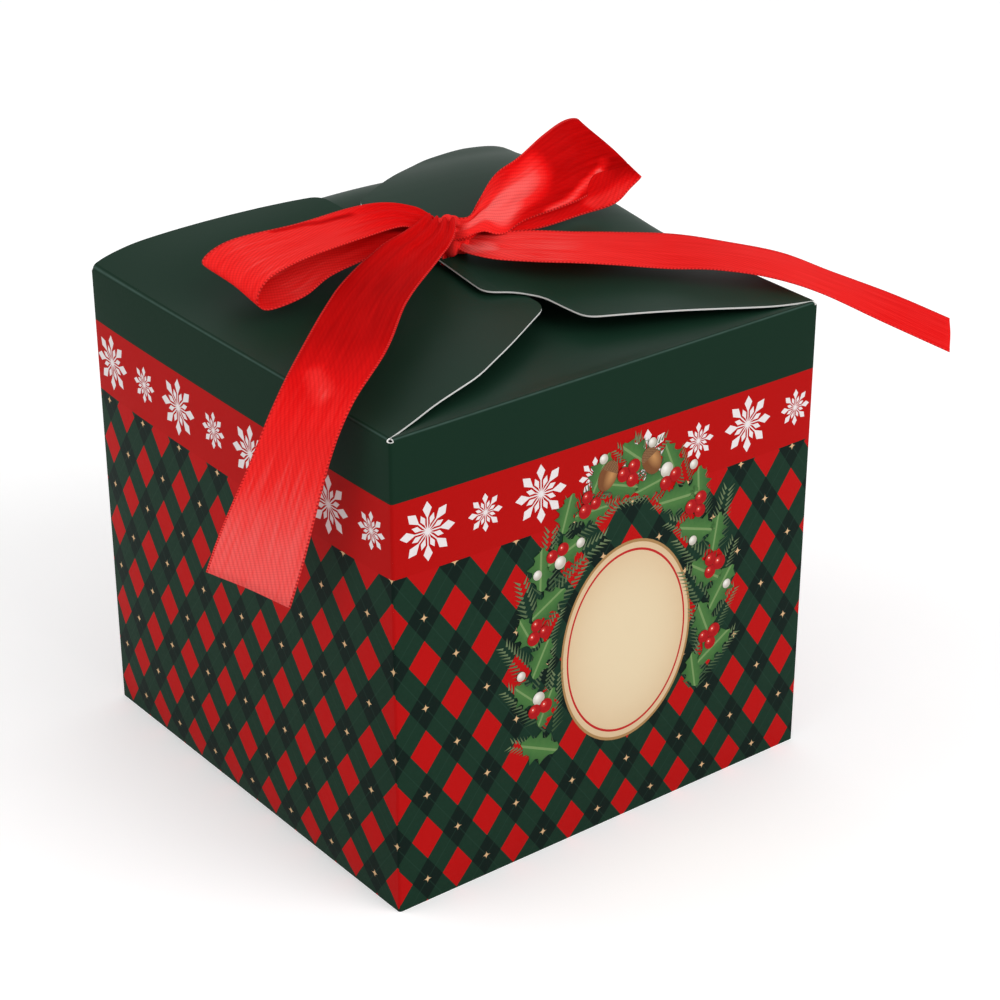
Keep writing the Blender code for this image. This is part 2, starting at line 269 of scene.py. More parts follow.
HALF_CELL_ALONG = 10.22
HALF_CELL_UP = 13.95
DIAMOND_SHARE = 0.25
BAND_LOW = 105.4
BAND_TOP = 127.5
STAR_REACH = 1.5
STAR_CELL = 0.3
LINE_HALF_WIDTH = 0.16

# %% Snowflake
FLAKE_MIDDLE = 116.8
FLAKE_SPACING = 18.8
FLAKE_BIG = 8.8
FLAKE_SMALL = 5.7
FLAKE_HUB = 0.1
ARM_KITE = (0.42, 0.76, 1.0, 0.165)
ARM_STEM = (0.6, 0.022)
GAP_KITE = (0.22, 0.44, 0.62, 0.095)
GAP_STEM = (0.4, 0.014)


def spoke(radius, angle, kite, stem):
    """1 inside a kite and its thin stem, which lie along a ray at this angle."""
    along = radius * angle.math("COSINE", angle)
    aside = radius * angle.math("SINE", angle)
    start, widest, end, half_width = kite
    length, half_stem = stem
    opening = (along - start) / (widest - start)
    closing = (end - along) / (end - widest)
    shape = aside < opening.lower_of(closing) * half_width
    return shape.higher_of((aside < half_stem) * (along < length))


def snowflake(along, up, first):
    """Eight kite-tipped arms, with eight small kites between them, in a row of flakes."""
    steps = (along - first) / FLAKE_SPACING
    aside = steps.from_nearest(1) * FLAKE_SPACING
    odd = abs(steps.math("ROUND", steps).from_nearest(2))
    size = FLAKE_BIG + odd * (FLAKE_SMALL - FLAKE_BIG)
    rise = up - FLAKE_MIDDLE
    radius = (aside * aside + rise * rise) ** 0.5 / size
    turn = math.pi / 4
    arm = abs(rise.math("ARCTAN2", aside, rise).from_nearest(turn))
    arms = spoke(radius, arm, ARM_KITE, ARM_STEM)
    gaps = spoke(radius, turn / 2 - arm, GAP_KITE, GAP_STEM)
    return arms.higher_of(gaps).higher_of(radius < FLAKE_HUB)

# %% [markdown]
# Each wall has its own finish, because the print runs round the box: the way along
# the sheet starts at the front left fold and grows round the front and right walls.

# %% Printed card
PRINTS = {
    "front": (0, 1, 75.6, 11.9, (0, 2.8, 2)),
    "left": (1, -1, -74.4, 10.8, (0, 0, 2)),
    "right": (1, 1, 225, 161.0, (2, 0, 0)),
    "back": (0, -1, 375, 311.0, (2, 0, 0)),
}


def printed_card(name, axis, sign, offset, first_flake, lean):
    """The print of one wall: axis 0 reads x and 1 reads y, in millimetres.

    The sheet was printed a little askew: lean gives how far the print sits low at the
    start of the wall, and by how much more the lattice and the band do at its end.
    """
    start, lattice_lean, band_lean = lean
    finish = Finish(name, Specular_IOR_Level=PRINT_GLOSS)
    where = finish.place()
    along = where[axis] * sign + offset
    up, high = [where[2] + along * (more * MM / SIDE) + start for more in (lattice_lean, band_lean)]
    across = along / (2 * HALF_CELL_ALONG)
    rise = (up - BAND_LOW) / (2 * HALF_CELL_UP)
    one_way = (across + rise).from_nearest(1)
    other_way = (across - rise).from_nearest(1)
    farther = abs(one_way).higher_of(abs(other_way))
    nearer = abs(one_way).lower_of(abs(other_way))
    span = 2 * HALF_CELL_UP * HALF_CELL_ALONG / math.hypot(HALF_CELL_ALONG, HALF_CELL_UP)
    hollow = abs((one_way + other_way) * HALF_CELL_ALONG) ** 0.5
    hollow = hollow + abs((one_way - other_way) * HALF_CELL_UP) ** 0.5
    star = (hollow < STAR_REACH**0.5) * (farther < STAR_CELL)
    below = high < BAND_LOW
    weave = finish.noise(900, 1)
    colour = finish.mix(weave * 0.6, MID_GREEN, GREEN)
    colour = finish.mix(farther < DIAMOND_SHARE, colour, DARK_GREEN)
    colour = finish.mix((nearer * span < LINE_HALF_WIDTH) * 0.35, colour, PALE_GREEN)
    colour = finish.mix(nearer > DIAMOND_SHARE, colour, DIAMOND_RED)
    colour = finish.mix(star, colour, STAR_GOLD)
    colour = finish.mix(1 - below, colour, BAND_RED)
    colour = finish.mix(high > BAND_TOP, colour, GREEN)
    flakes = snowflake(along, high, first_flake) * (1 - below)
    colour = finish.mix(flakes * (high < BAND_TOP), colour, FLAKE_WHITE)
    finish.wear(Base_Color=colour, Roughness=0.44 + weave * 0.1)
    finish.bump(finish.noise(1500, 3), CARD_TOOTH)
    return finish.material


print_of = {side: printed_card(f"{side}_print", *places) for side, places in PRINTS.items()}
print("print finishes:", ", ".join(print_of))

# %% [markdown]
# The inside of the sheet and its cut edges are bare white board, a little rough and
# faintly clouded. The petals are the same card with plain green print. Over a crease
# the green turns paler, partly from print rubbed thin and partly as a painted
# highlight of the bend.

# %% Board and plain green card
FOLD_PALE_SHARE = 0.5
FOLD_PALE_REACH = 0.28

board = Finish("white_board", Roughness=0.75)
board.wear(Base_Color=board.mix(board.noise(60, 4), BOARD_GREY, BOARD_WHITE))
board.bump(board.noise(2500, 2), CARD_TOOTH)
BOARD = board.material

plain = Finish("green_card", Specular_IOR_Level=PETAL_GLOSS)
cloud = plain.noise(35, 3)
plain.wear(Base_Color=plain.mix(cloud, GREEN, CARD_GREEN), Roughness=0.40 + cloud * 0.08)
plain.bump(plain.noise(1500, 3), CARD_TOOTH)
PLAIN_GREEN = plain.material

# Paler green along the middle of the bend: partly rubbed print, partly a painted highlight of the crease.
fold_finish = Finish("fold_wear_and_highlight", Roughness=0.5, Specular_IOR_Level=PRINT_GLOSS)
from_low = fold_finish.place(uv=True)[0] * MM
bend = 1 - (abs(from_low - FOLD_PALE_SHARE) / FOLD_PALE_REACH).lower_of(1)
wear_and_highlight = bend * (0.45 + 0.55 * fold_finish.noise(260, 3))
fold_finish.wear(Base_Color=fold_finish.mix(wear_and_highlight, GREEN, WEAR_AND_HIGHLIGHT_GREEN))
fold_finish.bump(fold_finish.noise(900, 3), CARD_TOOTH)
FOLD_WEAR_AND_HIGHLIGHT = fold_finish.material

for name in ("glue_tab", *(f"bottom_flap_{part}" for part in ("outer", "inner", "left", "right"))):
    frame["nodes"][name].data.materials.clear()
    frame["nodes"][name].data.materials.append(BOARD)

# %% [markdown]
# Each wall is one panel between two folds. It starts as a flat grid. Its two upright
# edges are spun round the fold by half a corner, so that neighbours meet in the
# middle of it. Card never stays quite flat, so the panel swells a little between its
# folds, and then it gets the thickness of the card.

# %% Helpers for modelling
QUARTERS = {"front": 0, "right": 1, "back": 2, "left": 3}


def take(*chosen):
    """Selects these objects alone, and makes the first of them active."""
    for obj in bpy.context.view_layer.objects:
        obj.select_set(obj in chosen)
    bpy.context.view_layer.objects.active = chosen[0]


def edit_all(obj):
    """Goes to edit mode with everything selected."""
    take(obj)
    bpy.ops.object.mode_set(mode="EDIT")
    bpy.ops.mesh.select_all(action="SELECT")


def pick_edges(obj, chosen):
    """Goes to edit mode with the edges selected whose two ends both pass the test."""
    verts = obj.data.vertices
    for item in (*verts, *obj.data.polygons):
        item.select = False
    for edge in obj.data.edges:
        edge.select = all(chosen(verts[index].co) for index in edge.vertices)
        for index in edge.vertices:
            verts[index].select |= edge.select
    bpy.ops.object.mode_set(mode="EDIT")


def settle(obj):
    """Puts the object's place into its mesh and applies its modifiers."""
    take(obj)
    bpy.ops.object.transform_apply(location=True, rotation=True, scale=True)
    for modifier in list(obj.modifiers):
        bpy.ops.object.modifier_apply(modifier=modifier.name)


def thicken(obj, thickness, offset=0, inner=0):
    """Gives a sheet its thickness: offset -1 puts all of it behind the outer face."""
    sheet = obj.modifiers.new("sheet", "SOLIDIFY")
    sheet.thickness = thickness
    sheet.offset = offset
    sheet.material_offset = inner
    sheet.material_offset_rim = inner
    settle(obj)


def belongs(obj, body, slot, *nodes):
    """Attaches the piece to the body it rides on and hides the nodes that it stands for. The slot is not
    used.
    """
    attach(obj, body)
    if nodes:
        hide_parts(*nodes)
    return obj

# %% Walls
FOLD = 0.9 * MM
FOLD_STEPS = 4
FLAT = SIDE - 2 * FOLD
WALL_TOP = WALL_HEIGHT - CARD - CREASE_GAP
WALL_CELLS = 40
SWELL = {"front": 1.6 * MM, "left": 2.8 * MM, "right": 1.5 * MM, "back": 1.5 * MM}
SWELL_REACH = 17 * MM
SWELL_REACH_LOW = 9 * MM
SWELL_REACH_TOP = 45 * MM
CARD_BEND = math.radians(50)


def swell(side, along, up):
    """How far the wall stands out, from the way along it and up it."""
    ways = (along, SWELL_REACH), (FLAT - along, SWELL_REACH)
    ways += (up, SWELL_REACH_LOW), (WALL_TOP - up, SWELL_REACH_TOP)
    out = SWELL[side]
    for way, reach in ways:
        out *= 1 - math.exp(-max(way, 0) / reach)
    return out


def make_wall(side):
    bpy.ops.mesh.primitive_grid_add(x_subdivisions=WALL_CELLS, y_subdivisions=WALL_CELLS, size=1)
    wall = bpy.context.object
    wall.name = f"{side}_wall"
    wall.location = (0, -SIDE / 2, WALL_TOP / 2)
    wall.rotation_euler.x = math.pi / 2
    wall.scale = (FLAT, WALL_TOP, 1)
    settle(wall)
    for vert in wall.data.vertices:
        vert.co.y -= swell(side, vert.co.x + FLAT / 2, vert.co.z)
    for end in (-1, 1):
        edge = end * FLAT / 2
        pick_edges(wall, lambda co: abs(co.x - edge) < FOLD / 100)
        middle = (edge, FOLD - SIDE / 2, 0)
        bpy.ops.mesh.spin(steps=FOLD_STEPS, angle=-end * math.pi / 4, center=middle, axis=(0, 0, 1))
        bpy.ops.object.mode_set(mode="OBJECT")
    edit_all(wall)
    bpy.ops.mesh.remove_doubles(threshold=FOLD / 1000)
    bpy.ops.mesh.normals_make_consistent(inside=False)
    bpy.ops.object.mode_set(mode="OBJECT")
    if wall.data.polygons[WALL_CELLS * WALL_CELLS // 2].normal.y > 0:
        wall.data.flip_normals()
    wall.data.shade_smooth()
    wall.data.materials.append(print_of[side])
    wall.data.materials.append(BOARD)
    wall.rotation_euler.z = QUARTERS[side] * math.pi / 2
    thicken(wall, CARD, -1, 1)
    bpy.ops.object.shade_smooth_by_angle(angle=CARD_BEND)
    return belongs(wall, "carton", "printed_card", f"wall_{side}")


for side in QUARTERS:
    wall = make_wall(side)
    print(side, "wall:", len(wall.data.polygons), "faces")

# %% [markdown]
# A printed picture sits on the front wall: a blank cream plaque under an arch of holly,
# fir, berries and acorns. Its shapes are too free for shader sums, so each motif is
# shaped once as a small flat mesh and stamped on the wall many times, a hair in front
# of the print. Every stamp follows the swell of the wall, and the motif's own UV map
# colours it from its middle to its edge.

# %% Stamping a motif on the wall
INK_STEP = 0.04 * MM


def motif(shape):
    """The corners, faces and UV map of a flat shape in X and Y, which is then dropped."""
    mesh = shape.data
    mesh.transform(shape.matrix_world)
    corners = [vert.co.xy.copy() for vert in mesh.vertices]
    low, high = [[pick(corner[axis] for corner in corners) for axis in (0, 1)] for pick in (min, max)]
    spans = [end - start for start, end in zip(low, high)]
    spots = [[(corner[axis] - low[axis]) / spans[axis] for axis in (0, 1)] for corner in corners]
    faces = [tuple(face.vertices) for face in mesh.polygons]
    bpy.data.objects.remove(shape)
    return corners, faces, [spots[index] for face in faces for index in face]


def add_piece(mesh, *finishes):
    """An object of the mesh, under the mesh's name and with these finishes."""
    for finish in finishes:
        mesh.materials.append(finish)
    obj = bpy.data.objects.new(mesh.name, mesh)
    bpy.context.scene.collection.objects.link(obj)
    return obj


def stamp(name, source, places, layer, finish):
    """Puts copies of a motif on the front wall, each at (x, z, turn, size) in metres."""
    corners, faces, uvs = source
    verts = []
    joined = []
    for x, z, turn, size in places:
        joined += [[len(verts) + index for index in face] for face in faces]
        for corner in corners:
            along = x + size * (corner.x * math.cos(turn) - corner.y * math.sin(turn))
            up = z + size * (corner.x * math.sin(turn) + corner.y * math.cos(turn))
            out = swell("front", along + FLAT / 2, up) + layer * INK_STEP
            verts.append((along, -SIDE / 2 - out, up))
    mesh = bpy.data.meshes.new(name)
    mesh.from_pydata(verts, [], joined)
    ink = mesh.uv_layers.new(name="ink")
    for loop, spot in zip(ink.data, uvs * len(places)):
        loop.uv = spot
    mesh.shade_smooth()
    if mesh.polygons[0].normal.y > 0:
        mesh.flip_normals()
    return belongs(add_piece(mesh, finish.material), "carton", "printed_card")


def ink_finish(name):
    """A printing ink, and the two ways across the motif's UV map."""
    finish = Finish(name, Roughness=0.5, Specular_IOR_Level=PRINT_GLOSS)
    u, v, _ = [part * MM for part in finish.place(uv=True)]
    return finish, u, v


def away_from(spot, u, v, across, up):
    """How far a point of the UV map lies from a spot, with each way stretched."""
    return (((u - spot[0]) * across) ** 2 + ((v - spot[1]) * up) ** 2) ** 0.5

# %% [markdown]
# The plaque is a disc, inset ring by ring so that it can bend with the wall, then
# stretched to an upright oval. A thin red line runs inside its rim.

# %% Plaque
PLAQUE_CENTRE = Vector((5, 60)) * MM
PLAQUE_REACH = Vector((24, 32)) * MM
PLAQUE_SIDES = 64
PLAQUE_RINGS = 8
CREAM, TAN, AGED = (0.72, 0.59, 0.39), (0.59, 0.41, 0.24), (0.72, 0.55, 0.36)
LINE_RED, RIM_BROWN = (0.45, 0.02, 0.02), (0.35, 0.20, 0.08)
LINE_PLACE = 0.90
LINE_HALF = 0.012
RIM_PLACE = 0.97

bpy.ops.mesh.primitive_circle_add(vertices=PLAQUE_SIDES, radius=1, fill_type="NGON")
disc = bpy.context.object
edit_all(disc)
for ring in range(PLAQUE_RINGS - 1):
    bpy.ops.mesh.inset(thickness=1 / PLAQUE_RINGS)
bpy.ops.mesh.poke()
bpy.ops.object.mode_set(mode="OBJECT")
disc.scale = (*PLAQUE_REACH, 1)
bpy.context.view_layer.update()
plaque_ink, u, v = ink_finish("plaque_cream")
radius = away_from((0.5, 0.5), u, v, 2, 2)
cream = plaque_ink.mix(radius**3, CREAM, TAN)
cream = plaque_ink.mix(plaque_ink.noise(300, 3) * 0.25, cream, AGED)
cream = plaque_ink.mix(abs(radius - LINE_PLACE) < LINE_HALF, cream, LINE_RED)
plaque_ink.wear(Base_Color=plaque_ink.mix(radius > RIM_PLACE, cream, RIM_BROWN))
plaque = stamp("printed_plaque", motif(disc), [(*PLAQUE_CENTRE, 0, 1)], 1, plaque_ink)
print("plaque:", len(plaque.data.polygons), "faces")

# %% [markdown]
# A holly leaf is a fine grid, pulled in to a point at both ends. Every third row of
# its rim is pushed out for the spines. A fir sprig is a row of thin needles in pairs.

# %% Holly leaf, fir sprig, berry and acorn
LEAF_CELLS = 12
LEAF_ROWS = 4
LEAF_WIDTH = 0.62
LEAF_SPINE, LEAF_HOLLOW = 1.25, 0.72
LEAF_BEND = 0.06
NEEDLE_PAIRS = 13
NEEDLE_LENGTH = 0.34
NEEDLE_WIDTH = 0.045
NEEDLE_TAPER = 0.45
NEEDLE_SLANTS = (52, 14)
DISC_SIDES = 20


bpy.ops.mesh.primitive_grid_add(x_subdivisions=LEAF_CELLS, y_subdivisions=LEAF_ROWS, size=1)
leaf = bpy.context.object
for vert in leaf.data.vertices:
    share = vert.co.x + 0.5
    spine = LEAF_SPINE if round(share * LEAF_CELLS) % 3 == 1 else LEAF_HOLLOW
    rim = abs(vert.co.y) > 0.4
    width = LEAF_WIDTH * math.sin(math.pi * min(max(share, 0.03), 0.97)) ** 0.8
    vert.co.y *= width * (spine if rim else 0.9)
    vert.co.y += LEAF_BEND * math.sin(math.pi * share)
LEAF = motif(leaf)

needles = []
for pair in range(NEEDLE_PAIRS):
    for side in (-1, 1):
        share = (pair + 0.3 * (side > 0)) / NEEDLE_PAIRS
        length = NEEDLE_LENGTH * (1 - NEEDLE_TAPER * share)
        way = math.radians(NEEDLE_SLANTS[0] - NEEDLE_SLANTS[1] * share)
        bpy.ops.mesh.primitive_circle_add(vertices=3, radius=0.5, fill_type="NGON")
        needle = bpy.context.object
        needle.rotation_euler.z = side * way - math.pi / 2
        needle.scale = (NEEDLE_WIDTH, length, 1)
        needle.location = (share + length / 2 * math.cos(way), side * length / 2 * math.sin(way), 0)
        needles.append(needle)
take(*needles)
bpy.ops.object.join()
SPRIG = motif(bpy.context.object)


def round_motif(squeeze=1):
    bpy.ops.mesh.primitive_circle_add(vertices=DISC_SIDES, radius=1, fill_type="TRIFAN")
    disc = bpy.context.object
    disc.scale.y = squeeze
    bpy.context.view_layer.update()
    return motif(disc)


BERRY = round_motif()
NUT = round_motif(0.72)

# %% Inks of the motifs
GLINT = (0.36, 0.66)
NUT_GLINT = (0.45, 0.68)
NUT_SCALES = 14, 9
CUP_SHARE = 0.36

leaf_ink, u, v = ink_finish("holly_green")
from_vein = abs(v - 0.5) * 2
green = leaf_ink.mix(from_vein, (0.06, 0.17, 0.045), (0.012, 0.065, 0.020))
green = leaf_ink.mix(leaf_ink.noise(700, 2) * 0.4, green, (0.10, 0.20, 0.06))
leaf_ink.wear(Base_Color=leaf_ink.mix((from_vein < 0.07) * 0.7, green, (0.20, 0.30, 0.12)))

fir_ink, u, v = ink_finish("fir_green")
fir_ink.wear(Base_Color=fir_ink.mix(u * 0.8, (0.035, 0.075, 0.035), (0.17, 0.22, 0.11)))

berry_ink, u, v = ink_finish("berry_red")
shine = away_from(GLINT, u, v, 4, 4)
red = berry_ink.mix(shine.lower_of(1), (0.72, 0.07, 0.05), (0.36, 0.008, 0.010))
berry_ink.wear(Base_Color=berry_ink.mix(shine < 0.22, red, (0.9, 0.62, 0.55)))

pearl_ink, u, v = ink_finish("berry_white")
shine = away_from(GLINT, u, v, 2, 2)
pearl_ink.wear(Base_Color=pearl_ink.mix(shine.lower_of(1), (0.85, 0.82, 0.76), (0.46, 0.42, 0.36)))

nut_ink, u, v = ink_finish("acorn_brown")
shine = away_from(NUT_GLINT, u, v, 2, 2.6)
brown = nut_ink.mix(shine.lower_of(1), (0.48, 0.24, 0.09), (0.17, 0.065, 0.025))
across, up = u * NUT_SCALES[0], v * NUT_SCALES[1]
edges = [abs(slant.from_nearest(1)) < 0.12 for slant in (across + up, across - up)]
cup = nut_ink.mix(edges[0].higher_of(edges[1]), (0.25, 0.13, 0.06), (0.10, 0.04, 0.02))
nut_ink.wear(Base_Color=nut_ink.mix(u < CUP_SHARE, brown, cup))

# %% [markdown]
# The stamps are set along an arch over the plaque. Sprigs fan outwards and inwards
# under two rows of leaves, and berries and acorns cover the places where leaves meet.

# %% Arch of leaves
ARCH_CENTRE = Vector((5, 64)) * MM
ARCH_REACH = Vector((33, 49)) * MM
ARCH_SPRIGS = (34, -38, 256)
SPRIG_LEANS = (-32, 25)
ARCH_LEAVES = (24, -30, 240)
LEAF_LEANS = (-34, 38)
LEAF_REACHES = (0.93, 1.10)
ARCH_BERRIES = (12, 40, 64, 90, 116, 140, 168, -16, 196)
CLUSTER_REACH = 2.3 * MM
ARCH_PEARLS = {2: 1.15, 30: 0.84, 52: 1.16, 78: 1.17, 104: 1.18, 128: 0.86, 150: 1.14, 182: 1.16}
PEARL_REACH = 1.5 * MM
ARCH_NUTS = {77: -62, 103: -118}
NUT_REACH = 4.6 * MM


def on_arch(degrees, reach=1.0):
    angle = math.radians(degrees)
    return (
        ARCH_CENTRE.x + ARCH_REACH.x * reach * math.cos(angle),
        ARCH_CENTRE.y + ARCH_REACH.y * reach * math.sin(angle),
    )


def spread(count, first, sweep):
    """Spreads so many stamps: 0 or 1 by turns, the degrees, and 1 on the left or -1."""
    for index in range(count):
        degrees = first + sweep * index / (count - 1)
        yield index % 2, degrees, 1 if degrees > 90 else -1


chance = np.random.default_rng(5)
sprigs = []
for odd, degrees, side in spread(*ARCH_SPRIGS):
    lean = SPRIG_LEANS[odd] + chance.uniform(-9, 9)
    turn = math.radians(degrees - side * 90 + lean * side)
    sprigs.append((*on_arch(degrees), turn, (17 + chance.uniform(-2, 4)) * MM))
leaves = []
for odd, degrees, side in spread(*ARCH_LEAVES):
    turn = math.radians(degrees - side * 90 + side * LEAF_LEANS[odd] + chance.uniform(-10, 10))
    size = (13 + chance.uniform(-1.5, 2)) * MM
    leaves.append((*on_arch(degrees, LEAF_REACHES[odd]), turn, size))
berries = []
pearls = []
for index, degrees in enumerate(ARCH_BERRIES):
    x, z = on_arch(degrees)
    for place in range(3):
        way = 2 * math.pi * place / 3 + index
        size = (1.9 + chance.uniform(0, 0.5)) * MM
        target = pearls if index % 3 == 2 and place == 0 else berries
        target.append((x + CLUSTER_REACH * math.cos(way), z + CLUSTER_REACH * math.sin(way), 0, size))
pearls += [(*on_arch(degrees, reach), 0, PEARL_REACH) for degrees, reach in ARCH_PEARLS.items()]
nuts = [(*on_arch(degrees, 1.06), math.radians(turn), NUT_REACH) for degrees, turn in ARCH_NUTS.items()]
for piece in (
    stamp("printed_fir", SPRIG, sprigs, 2, fir_ink),
    stamp("printed_holly", LEAF, leaves, 4, leaf_ink),
    stamp("printed_acorns", NUT, nuts, 6, nut_ink),
    stamp("printed_pearls", BERRY, pearls, 7, pearl_ink),
    stamp("printed_berries", BERRY, berries, 8, berry_ink),
):
    print(piece.name, len(piece.data.polygons), "faces")

# %% [markdown]
# A petal is one rounded tongue of card. It is cut from a flat face, divided by a
# fine grid so that it can bend, and raised by a rule like the CAD petal's. Where
# it leaves the wall a narrow strip of card rolls over the crease.

# %% Petal shapes
SLOT_LENGTH = 2.8 * MM
SLOT_WIDTH = 1.6 * MM
SLOT_FROM_CENTRE = 1.8 * MM
STRAP_SHIFT = -2.6 * MM
UNDER_STEP = CARD + CREASE_GAP
UNDER_STEP_REACH = 4.2 * MM
UNDER_SLOPE = 0.05
CREASE_WIDTH = 1.2 * MM
PETAL_CELL = 1.6 * MM
PETAL_DEPTH = 0.54 * SIDE
CURVE_STEPS = 8
CORNER_STEPS = 6
PETAL_TURNS = {"left": 0, "front": 1, "right": 2, "back": 3}
PETAL_CORNERS = (
    (0, 0.006, 0), (0.085, 0.030, 0.02), (0.430, 0.167, 0.025), (0.448, 0.276, 0.02),
    (0.480, 0.315, 0.02), (0.534, 0.345, 0.02), (0.534, 0.755, 0.033), (0.378, 0.849, 0.05),
    (0.260, 0.909, 0.03), (0.140, 0.940, 0.03), (0, 0.994, 0),
)
CURVES = {
    "left": (
        (
            (0, 0.147), (0.165, 0.130), (0.36, 0.067), (0.534, 0.047), (0.63, 0.034), (0.755, 0.029),
            (1, 0.027),
        ),
        ((0, 0.4), (0.3, 0.25), (0.5, 0.19), (1, 0.28)),
        ((0, 0.75), (0.5, 1.4), (1, 2)),
    ),
    "right": (
        (
            (0, 0.022), (0.17, 0.025), (0.27, 0.034), (0.37, 0.046), (0.755, 0.098), (0.9, 0.094),
            (0.943, 0.090), (0.97, 0.074), (1, 0.072),
        ),
        ((0, 0.25), (0.3, 0.19), (0.5, 0.06), (1, 0.045)),
        ((0, 2), (0.3, 1.5), (0.5, 0.8), (1, 0.3)),
    ),
    "back": (
        (
            (0, 0.012), (0.08, 0.033), (0.2, 0.070), (0.35, 0.092), (0.5, 0.096), (0.65, 0.084),
            (0.78, 0.064), (0.9, 0.029), (1, 0.012),
        ),
        ((0, 0.1), (1, 0.1)),
        ((0, 1.2), (1, 1.2)),
    ),
}
BACK_TIP = ((0, 1), (0.12, 1), (0.21, 0.84), (0.3, 0.63), (0.38, 0.44), (0.47, 0.22), (0.54, 0.1))


def smooth_through(rows, steps):
    """Points of a smooth curve through the rows, with so many steps between two rows."""
    rows = np.array(rows, float)
    guide = np.vstack([2 * rows[0] - rows[1], rows, 2 * rows[-1] - rows[-2]])
    points = []
    for index in range(len(rows) - 1):
        a, b, c, d = guide[index : index + 4]
        for step in range(steps):
            u = step / steps
            square = (2 * a - 5 * b + 4 * c - d) * u**2
            cube = (3 * b - a - 3 * c + d) * u**3
            points.append((2 * b + (c - a) * u + square + cube) / 2)
    points.append(rows[-1])
    return np.array(points)


def curve_reader(rows):
    """A function that reads the height of the smooth curve through the rows."""
    curve = smooth_through(rows, CURVE_STEPS)
    return lambda place: float(np.interp(place, curve[:, 0], curve[:, 1]))


READERS = {petal: [curve_reader(rows) for rows in curves] for petal, curves in CURVES.items()}
BACK_TIP_AT = curve_reader(BACK_TIP)


def petal_rise(petal, depth, along):
    """The height of a petal's upper face over its crease.

    Three curves of the place along the crease say how high the petal rises, how far
    in from the crease it gets there and how suddenly it starts.
    """
    if petal == "front":
        step = UNDER_STEP * (1 - math.exp(-((depth / UNDER_STEP_REACH) ** 2)))
        return -step - UNDER_SLOPE * depth
    rise, reach, power = [read(along / SIDE) for read in READERS[petal]]
    rise *= 1 - math.exp(-((max(depth, 0) / SIDE / reach) ** power))
    if petal == "back":
        rise *= BACK_TIP_AT(depth / SIDE)
    return SIDE * rise

# %% Petal sheets


def rounded(start, corner, end):
    """Points of a short curve from start to end that rounds the corner."""
    shares = [step / CORNER_STEPS for step in range(CORNER_STEPS + 1)]
    return [start * (1 - u) ** 2 + corner * 2 * u * (1 - u) + end * u**2 for u in shares]


def petal_outline():
    """The flat petal's edge, with each corner rounded by a short curve."""
    points = []
    for index, (depth, along, cut) in enumerate(PETAL_CORNERS):
        corner = Vector((depth, along))
        if not cut:
            points.append(corner * SIDE)
            continue
        before = Vector(PETAL_CORNERS[index - 1][:2]) - corner
        after = Vector(PETAL_CORNERS[index + 1][:2]) - corner
        start = corner + before.normalized() * cut
        end = corner + after.normalized() * cut
        points += [point * SIDE for point in rounded(start, corner, end)]
    return points


def cut_across(form, place, axis, drop=False):
    """Divides the flat sheet along a line, and may drop what is before it."""
    point = Vector((0, 0, 0))
    normal = Vector((0, 0, 0))
    point[axis] = place
    normal[axis] = 1
    everything = form.verts[:] + form.edges[:] + form.faces[:]
    bmesh.ops.bisect_plane(form, geom=everything, plane_co=point, plane_no=normal, clear_inner=drop)


def petal_form(petal):
    """The petal's upper face in its own frame: X runs inwards, Y along the crease."""
    form = bmesh.new()
    verts = [form.verts.new((depth, SIDE / 2 - along, 0)) for depth, along in petal_outline()]
    form.faces.new(verts)
    cut_across(form, CREASE_WIDTH, 0, drop=True)
    for index in range(1, int(PETAL_DEPTH / PETAL_CELL)):
        cut_across(form, CREASE_WIDTH + index * PETAL_CELL, 0)
    for index in range(1, int(SIDE / PETAL_CELL)):
        cut_across(form, index * PETAL_CELL - SIDE / 2, 1)
    if petal in ("left", "right"):
        punch_slots(form, petal)
    for vert in form.verts:
        vert.co.z = petal_rise(petal, vert.co.x, SIDE / 2 - vert.co.y)
    return form


def punch_slots(form, petal):
    """Cuts the two ribbon slots out of the flat sheet."""
    half = Vector((SLOT_LENGTH / 2, SLOT_WIDTH / 2))
    slots = []
    aside = STRAP_SHIFT if petal == "left" else -STRAP_SHIFT
    for side in (-1, 1):
        centre = Vector((SIDE / 2 + aside, side * SLOT_FROM_CENTRE))
        slots.append((centre - half, centre + half))
        for corner in slots[-1]:
            cut_across(form, corner.x, 0)
            cut_across(form, corner.y, 1)
    inside = []
    for face in form.faces:
        middle = face.calc_center_median()
        if any(low.x < middle.x < high.x and low.y < middle.y < high.y for low, high in slots):
            inside.append(face)
    bmesh.ops.delete(form, geom=inside, context="FACES")


def sheet_of(lines, map_name, spot):
    """A sheet through lines of points, and a UV map with the spot of each point."""
    form = bmesh.new()
    uv = form.loops.layers.uv.new(map_name)
    lines = [[form.verts.new(point) for point in line] for line in lines]
    for row in range(len(lines) - 1):
        for cell in range(len(lines[row]) - 1):
            corners = ((cell, row), (cell + 1, row), (cell + 1, row + 1), (cell, row + 1))
            face = form.faces.new([lines[line][column] for column, line in corners])
            for loop, corner in zip(face.loops, corners):
                loop[uv].uv = spot(*corner)
    return form


def crease_form(petal, petal_sheet):
    """The strip that rolls over the crease, from the wall's top to the petal's first row."""
    first_row = [vert.co.y for vert in petal_sheet.verts if abs(vert.co.x - CREASE_WIDTH) < MM / 1000]
    first_row = sorted({round(y, 7) for y in first_row})
    lines = []
    for y in first_row:
        low = Vector((0, y, -UNDER_STEP))
        high = Vector((CREASE_WIDTH, y, petal_rise(petal, CREASE_WIDTH, SIDE / 2 - y)))
        slope = petal_rise(petal, 2 * CREASE_WIDTH, SIDE / 2 - y) - high.z
        bend = Vector((0, y, high.z - slope))
        lines.append(rounded(low, bend, high))
    return sheet_of(lines, "fold", lambda step, line: (step / CORNER_STEPS, first_row[line]))


